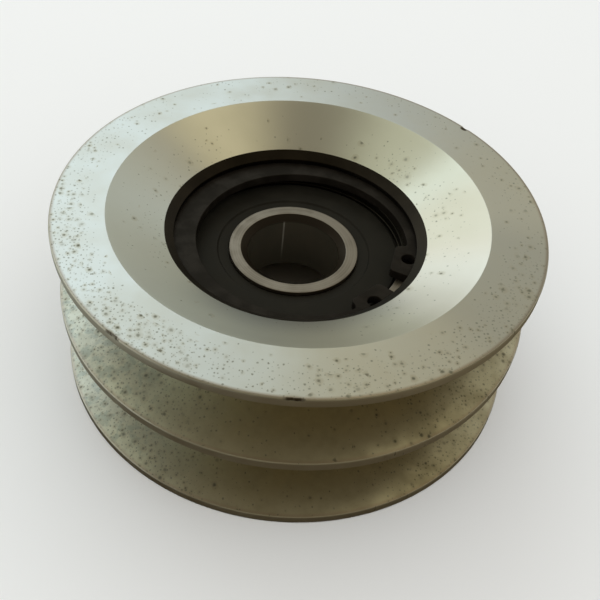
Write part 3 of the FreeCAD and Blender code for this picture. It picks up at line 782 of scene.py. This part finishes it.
plated_groove = make_plating(
    "plated_belt_groove",
    clean=(0.80, 0.745, 0.55, 1), dull=(0.64, 0.585, 0.41, 1), rim_wear_and_highlight=(0.66, 0.55, 0.40, 1),
    tints_and_painted_light=[
        {"sector": (-152, 22, 34), "colour": (1.12, 1.19, 1.32)},
        {"sector": (-166, 12, 20), "colour": (1.09, 1.12, 1.22)},
        {"sector": (-46, 8, 16), "colour": (0.88, 0.86, 0.80)},
        {"sector": (-158, 22, 22), "patch_size": 2.4, "colour": (0.76, 0.80, 0.82)},
    ],
    patch_size=5.0, roughness=(0.34, 0.48), anisotropy=0.5, lines_per_mm=2.0,
    spots={
        "base": 0.03, "cloud": 0.16, "radii": (36.0, 44.0),
        "sectors": [(-150, 26, 0.95), (-36, 14, 0.75)],
    },
)
# The lands' bright rim colour is partly wear and partly a painted highlight of their rounded corners.
plated_land = make_plating(
    "worn_highlit_rim_land",
    clean=(0.82, 0.73, 0.58, 1), dull=(0.62, 0.52, 0.39, 1), rim_wear_and_highlight=(0.85, 0.81, 0.66, 1),
    tints_and_painted_light=[{"sector": (-128, 10, 22), "colour": (0.80, 0.77, 0.72)}],
    patch_size=4.0, roughness=(0.36, 0.48), anisotropy=0.3, lines_per_mm=2.0,
    spots={"base": 0.0, "cloud": 0.10, "radii": (20.0, 50.0), "sectors": []},
)
seat_steel = make_plating(
    "oiled_bearing_seat",
    clean=(0.032, 0.026, 0.019, 1), dull=(0.050, 0.040, 0.028, 1),
    patch_size=8.0, roughness=(0.40, 0.50), anisotropy=0.2, lines_per_mm=2.5,
    spots={"base": 0.0, "cloud": 0.0, "radii": (20.0, 50.0), "sectors": []},
)


SHEAVE_FINISHES = [plated_band, plated_cone, plated_groove, plated_land, seat_steel]


def sheave_finish(radius, height):
    """The finish at a face's middle: band, cone, groove, land or bearing seat."""
    on_side = abs(height) > HALF_RIM - 0.12
    if radius > RIM_RADIUS - 0.2:
        return plated_land
    if radius > DISH_RADIUS - 0.1 and on_side:
        return plated_band
    if radius < SEAT_RADIUS + 1.8 and height < HALF_RIM - DISH_DEPTH:
        return seat_steel if height > -HALF_RIM / 2 else plated_cone
    if radius > GROOVE_ROOT_RADIUS - 0.5 and abs(height) < HALF_RIM - 1.5:
        return plated_groove
    return plated_cone if radius < DISH_RADIUS else plated_band


def make_sheave():
    sheave = turned_ring("grooved_sheave", sheave_outline(), SHEAVE_SEGMENTS)
    for material in SHEAVE_FINISHES:
        sheave.data.materials.append(material)
    for face in sheave.data.polygons:
        middle = face.center / MM
        finish = sheave_finish(math.hypot(middle.x, middle.y), middle.z)
        face.material_index = SHEAVE_FINISHES.index(finish)
    dent_rim(sheave.data)
    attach(sheave, "pulley")
    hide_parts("sheave")


make_sheave()


# ---------------------------------------------------------------- support ring
# A flat ring of bare steel lies on the bearing's outer ring and gives the retaining ring a square edge to
# bear on. Where it shows in the retaining ring's gap it is bare steel; elsewhere it is painted dark as shade.

SUPPORT_RING_RADII = (23.5, 25.9)
CIRCLIP_GAP_DIRECTION = -31.9
BARE_GAP_HALF_ANGLE = 8.0


def make_support_ring():
    low, high = (corner.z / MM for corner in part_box("shim_ring"))
    inner, outer = SUPPORT_RING_RADII
    outline = [(inner, low, 0.12), (outer, low, 0.12), (outer, high, 0.12), (inner, high, 0.12)]
    ring = turned_ring("support_ring", outline, RING_SEGMENTS)
    # Painted shade: the ring is dark all round the recess, except the bare steel in the retaining ring's gap.
    ring.data.materials.append(dark_steel_and_painted_shade)
    ring.data.materials.append(ground_steel)
    for face in ring.data.polygons:
        direction = math.degrees(math.atan2(face.center.y, face.center.x))
        face.material_index = 1 if abs(direction - CIRCLIP_GAP_DIRECTION) < BARE_GAP_HALF_ANGLE else 0
    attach(ring, "pulley")
    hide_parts("shim_ring")


make_support_ring()


# ---------------------------------------------------------------- retaining ring
# The retaining ring is stamped from spring steel and blackened. It is widest opposite its gap, and each lug
# beside the gap has a hole for the pliers. It springs outwards into its groove in the bore.

CIRCLIP_RADIUS = 27.4
CIRCLIP_INNER_RADIUS = 22.7
CIRCLIP_ECCENTRICITY = 1.8
CIRCLIP_GAP_HALF = 6.5
LUG_ANGLE = 21.0
LUG_INNER_RADIUS = 21.8
LUG_HOLE_ANGLE = 11.6
LUG_HOLE_RADIUS = 1.5
LUG_HOLE_PITCH_RADIUS = 24.7
STAMPED_EDGE = 0.14


def make_blackened_steel():
    material, tree, shader = new_material("blackened_spring_steel")
    wear = place_group(tree, cloudy_patches, {"Patch size mm": 5.0, "Low": 0.4, "High": 0.7})
    colour = mix_colour(tree, wear.outputs["Mask"], (0.0085, 0.0068, 0.0050, 1), (0.015, 0.0122, 0.0092, 1))
    place = add_node(tree, "ShaderNodeTexCoord").outputs["Object"]
    grain = add_node(tree, "ShaderNodeTexNoise", None, {"Vector": place, "Scale": 3 / MM, "Detail": 3.0})
    inputs = {"Strength": 0.3, "Distance": 0.03 * MM, "Height": grain.outputs["Fac"]}
    bump = add_node(tree, "ShaderNodeBump", None, inputs)
    inputs = {"Value": wear.outputs["Mask"], "To Min": 0.56, "To Max": 0.46}
    rough = add_node(tree, "ShaderNodeMapRange", None, inputs)
    tree.links.new(colour, shader.inputs["Base Color"])
    tree.links.new(rough.outputs["Result"], shader.inputs["Roughness"])
    tree.links.new(bump.outputs[0], shader.inputs["Normal"])
    shader.inputs["Specular IOR Level"].default_value = 0.14
    shader.inputs["Specular Tint"].default_value = (1.0, 0.84, 0.60, 1)
    return material


def at(radius, degrees):
    """A point in the retaining ring's plane, in mm, with the gap towards +X."""
    angle = math.radians(degrees)
    return Vector((radius * math.cos(angle), radius * math.sin(angle)))


def circlip_inner_edge(degrees):
    """The inner edge is a circle whose middle is shifted towards the gap."""
    angle = math.radians(degrees)
    across = CIRCLIP_ECCENTRICITY * math.sin(angle)
    radius = CIRCLIP_ECCENTRICITY * math.cos(angle) + math.sqrt(CIRCLIP_INNER_RADIUS**2 - across**2)
    return at(radius, degrees)


def circlip_outline():
    """One closed outline: round the outside from lug to lug, then back along the lugs and the inner edge."""
    lug_end = CIRCLIP_GAP_HALF + LUG_ANGLE
    outside_steps = int(356 - 2 * CIRCLIP_GAP_HALF) + 1
    inside_steps = int((350 - 2 * lug_end) / 2) + 1
    outside = [at(CIRCLIP_RADIUS, CIRCLIP_GAP_HALF + 2 + step) for step in range(outside_steps)]
    inside = [circlip_inner_edge(lug_end + 5 + step * 2) for step in range(inside_steps)]
    corners = [(*at(CIRCLIP_RADIUS, CIRCLIP_GAP_HALF), 0.5)]
    corners += [(*point, 0) for point in outside]
    corners += [
        (*at(CIRCLIP_RADIUS, -CIRCLIP_GAP_HALF), 0.5),
        (*at(LUG_INNER_RADIUS, -CIRCLIP_GAP_HALF), 1.0),
        (*at(LUG_INNER_RADIUS, -lug_end), 1.1),
        (*circlip_inner_edge(-lug_end), 1.0),
    ]
    corners += [(*point, 0) for point in reversed(inside)]
    corners += [
        (*circlip_inner_edge(lug_end), 1.0),
        (*at(LUG_INNER_RADIUS, lug_end), 1.1),
        (*at(LUG_INNER_RADIUS, CIRCLIP_GAP_HALF), 1.0),
    ]
    return rounded_outline(corners)


def add_loop(curve, points):
    """Adds a closed straight-sided loop to a flat curve."""
    spline = curve.splines.new("POLY")
    spline.points.add(len(points) - 1)
    for target, point in zip(spline.points, points):
        target.co = (point.x * MM, point.y * MM, 0, 1)
    spline.use_cyclic_u = True


def make_retaining_ring():
    thickness = (circlip_high.z - circlip_low.z) / MM
    curve = bpy.data.curves.new("retaining_ring_outline", "CURVE")
    curve.dimensions = "2D"
    curve.fill_mode = "BOTH"
    curve.extrude = (thickness / 2 - STAMPED_EDGE) * MM
    curve.bevel_depth = STAMPED_EDGE * MM
    curve.bevel_resolution = 2
    curve.offset = -STAMPED_EDGE * MM
    add_loop(curve, circlip_outline())
    for side in (1, -1):
        hole = at(LUG_HOLE_PITCH_RADIUS, side * (CIRCLIP_GAP_HALF + LUG_HOLE_ANGLE))
        add_loop(curve, [hole + at(LUG_HOLE_RADIUS, step * 7.5) for step in range(48)])
    flat = bpy.data.objects.new("retaining_ring_curve", curve)
    bpy.context.scene.collection.objects.link(flat)
    bpy.context.view_layer.update()
    depsgraph = bpy.context.evaluated_depsgraph_get()
    data = bpy.data.meshes.new_from_object(flat.evaluated_get(depsgraph))
    bpy.data.objects.remove(flat)
    middle = (circlip_low.z + circlip_high.z) / 2
    turned = Matrix.Rotation(math.radians(CIRCLIP_GAP_DIRECTION), 4, "Z")
    data.transform(Matrix.Translation((0, 0, middle)) @ turned)
    data.name = "retaining_ring"
    ring = bpy.data.objects.new("retaining_ring", data)
    bpy.context.scene.collection.objects.link(ring)
    welded = bmesh.new()
    welded.from_mesh(data)
    bmesh.ops.remove_doubles(welded, verts=welded.verts, dist=0.002 * MM)
    bmesh.ops.recalc_face_normals(welded, faces=welded.faces)
    welded.to_mesh(data)
    welded.free()
    smooth_faces(ring)
    data.materials.clear()
    data.materials.append(make_blackened_steel())
    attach(ring, "pulley")
    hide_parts("circlip")


make_retaining_ring()


# ---------------------------------------------------------------- table top, light and camera
# The pulley lies on its rear face on a pale matt table, in a room with soft light all round. A broad cool
# window is behind it to the left. Warm glows are high on the left and the right, and above the window.

TABLE_SIZE = 6.0
CAMERA_PLACE = (-0.00999, -0.13169, 0.12482)
CAMERA_DOWNWARD_TILT = 45.52
CAMERA_TURN = 2.885
CAMERA_LENS = 48.2
CAMERA_SENSOR = 36.0
CAMERA_SHIFT = 0.0917


def make_table():
    """The table is pale to look at, and brown in the metal's reflections, like a wooden bench about it."""
    bpy.ops.mesh.primitive_plane_add(size=TABLE_SIZE, location=(0, 0, cad_low.z))
    table = bpy.context.object
    table.name = "table_top"
    material, tree, shader = new_material("pale_table")
    reflected = add_node(tree, "ShaderNodeLightPath").outputs["Is Glossy Ray"]
    place = add_node(tree, "ShaderNodeTexCoord").outputs["Object"]
    across = add_node(tree, "ShaderNodeSeparateXYZ", None, {0: place}).outputs["X"]
    on_the_left = fade(tree, across, -0.042, -0.078)
    on_the_right = fade(tree, across, 0.02, 0.08)
    bench = mix_colour(tree, on_the_left, (0.085, 0.067, 0.043, 1), (0.27, 0.28, 0.27, 1))
    bench = mix_colour(tree, on_the_right, bench, (0.13, 0.105, 0.070, 1))
    colour = mix_colour(tree, reflected, (0.90, 0.90, 0.88, 1), bench)
    place = place_group(tree, place_about_axis, {})
    # Painted shadow: under the pulley the table is a darker brown, which shows through the bore.
    clear = fade(tree, place.outputs["Radius"], REAR_MOUTH_RADIUS, RIM_RADIUS - 1)
    with_painted_shadow = mix_colour(tree, clear, (0.45, 0.39, 0.29, 1), colour)
    tree.links.new(with_painted_shadow, shader.inputs["Base Color"])
    shader.inputs["Roughness"].default_value = 0.9
    shader.inputs["Specular IOR Level"].default_value = 0.1
    table.data.materials.append(material)


def direction_towards(azimuth, elevation):
    """A direction from the pulley. Azimuth 0 is behind it and 90 to its right, in degrees."""
    turn, rise = math.radians(azimuth), math.radians(elevation)
    return Vector((math.sin(turn) * math.cos(rise), math.cos(turn) * math.cos(rise), math.sin(rise)))


def soft_light(name, azimuth, elevation, distance, width, height, brightness, colour):
    """A rectangular light facing the pulley; brightness is its radiance."""
    light = bpy.data.lights.new(name, "AREA")
    light.shape = "RECTANGLE"
    light.size = width
    light.size_y = height
    light.energy = brightness * math.pi * width * height
    light.color = colour
    lamp = bpy.data.objects.new(name, light)
    bpy.context.scene.collection.objects.link(lamp)
    towards = direction_towards(azimuth, elevation)
    lamp.location = towards * distance
    lamp.rotation_euler = towards.to_track_quat("Z", "Y").to_euler()


# A glow of the room: azimuth, elevation, and where it is full and where it ends, in degrees; then its colour.
ROOM_GLOWS = [
    (-48, 64, 5, 19, (0.59, 0.62, 0.50, 1)),
    (61, 67, 4, 18, (0.76, 0.70, 0.49, 1)),
    (7, 56, 2, 13, (0.40, 0.375, 0.27, 1)),
]


def make_world():
    """A warm grey room for the metal to reflect, brighter behind and darker overhead, and a pale backdrop."""
    world = bpy.data.worlds.new("studio")
    bpy.context.scene.world = world
    world.use_nodes = True
    world.cycles.sampling_method = "NONE"
    tree = world.node_tree
    direction = add_node(tree, "ShaderNodeTexCoord").outputs["Generated"]
    split = add_node(tree, "ShaderNodeSeparateXYZ", None, {0: direction})
    to_the_right = fade(tree, split.outputs["X"], 0.34, 0.48)
    back = mix_colour(tree, to_the_right, (0.31, 0.288, 0.225, 1), (0.44, 0.445, 0.405, 1))
    above_table = fade(tree, split.outputs["Z"], -0.04, 0.20)
    back = mix_colour(tree, above_table, (0.075, 0.073, 0.060, 1), back)
    behind = fade(tree, split.outputs["Y"], -0.10, 0.50)
    walls = mix_colour(tree, behind, (0.135, 0.115, 0.078, 1), back)
    to_the_left = fade(tree, split.outputs["X"], -0.70, -0.92)
    walls = mix_colour(tree, to_the_left, walls, (0.95, 1.05, 1.12, 1))
    overhead = fade(tree, split.outputs["Z"], 0.72, 0.97)
    room = mix_colour(tree, overhead, walls, (0.20, 0.185, 0.145, 1))
    for azimuth, elevation, inner, outer, colour in ROOM_GLOWS:
        towards = direction_towards(azimuth, elevation)
        inputs = {0: direction, 1: towards}
        facing = add_node(tree, "ShaderNodeVectorMath", {"operation": "DOT_PRODUCT"}, inputs)
        low, high = math.cos(math.radians(outer)), math.cos(math.radians(inner))
        room = mix_colour(tree, fade(tree, facing.outputs["Value"], low, high), room, colour)
    reflected = add_node(tree, "ShaderNodeLightPath").outputs["Is Glossy Ray"]
    shown = mix_colour(tree, reflected, (0.90, 0.90, 0.89, 1), room)
    tree.links.new(shown, tree.nodes["Background"].inputs["Color"])


make_table()
make_world()
soft_light(
    "window_light", azimuth=-22, elevation=34, distance=1.2, width=1.04, height=0.98, brightness=0.82,
    colour=(0.75, 0.92, 1.0),
)

camera_data = bpy.data.cameras.new("camera")
camera_data.sensor_width = CAMERA_SENSOR
camera_data.lens = CAMERA_LENS
camera_data.shift_x = CAMERA_SHIFT
camera = bpy.data.objects.new("camera", camera_data)
bpy.context.scene.collection.objects.link(camera)
camera.location = CAMERA_PLACE
camera.rotation_mode = "ZYX"
camera.rotation_euler = (math.radians(90 - CAMERA_DOWNWARD_TILT), 0, math.radians(CAMERA_TURN))
camera_data.clip_start = 0.01
bpy.context.scene.camera = camera
bpy.context.scene.view_settings.view_transform = "Standard"
